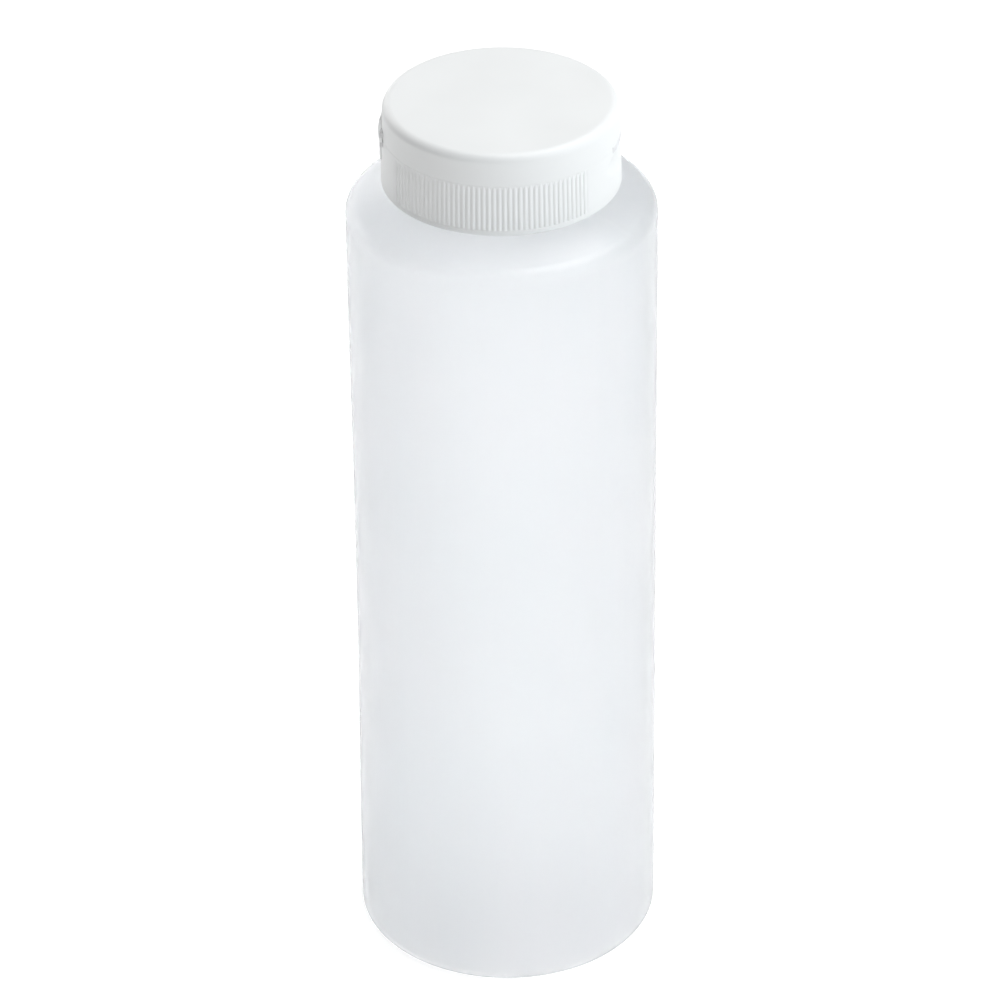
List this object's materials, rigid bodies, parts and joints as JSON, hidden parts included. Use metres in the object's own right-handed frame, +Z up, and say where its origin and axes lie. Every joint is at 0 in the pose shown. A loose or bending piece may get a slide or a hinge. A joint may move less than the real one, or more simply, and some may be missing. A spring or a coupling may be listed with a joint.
{
  "type": "squeeze reagent bottle",
  "caption": "Translucent plastic cylinder squeeze bottle with a ribbed screw closure, snap-open lid on a butterfly hinge and a pouring spout.",
  "frame": {"origin": "centre of the bottle's foot plane, on the bottle's axis", "axes": "+Z up along the bottle's axis; the lid's hinge is on the -X side and the thumb recess on the +X side"},
  "size_m": [0.0556, 0.0556, 0.1726],
  "materials": {
    "natural_polyethylene": "natural translucent low-density polyethylene, blow-moulded, satin",
    "white_polypropylene": "white polypropylene, injection-moulded, fine satin",
    "foam_liner": "white polyethylene foam, closed cells"
  },
  "bodies": {
    "bottle": {"bottle": "natural_polyethylene"},
    "liner": {"sealing_liner": "foam_liner"},
    "closure": {"closure_base": "white_polypropylene", "hinge_strap": "white_polypropylene", "film_hinge_front": "white_polypropylene", "film_hinge_back": "white_polypropylene"},
    "lid": {"flip_lid": "white_polypropylene"}
  },
  "joints": [
    {"name": "closure_lift", "type": "slide", "parent": "bottle", "child": "liner", "axis": [0, 0, 1], "range_m": [0, 0.01275]},
    {"name": "closure_turn", "type": "hinge", "parent": "liner", "child": "closure", "pos_m": [0, 0, 0.1618], "axis": [0, 0, 1], "range_deg": [0, 1080]},
    {"name": "lid_flip", "type": "hinge", "parent": "closure", "child": "lid", "pos_m": [-0.02065, 0, 0.16675], "axis": [0, -1, 0], "range_deg": [0, 170], "deforming": ["hinge_strap", "film_hinge_front", "film_hinge_back"]}
  ],
  "couplings": [
    {"joint": "closure_lift", "follows": "closure_turn", "m_per_rad": 0.00067376}
  ]
}
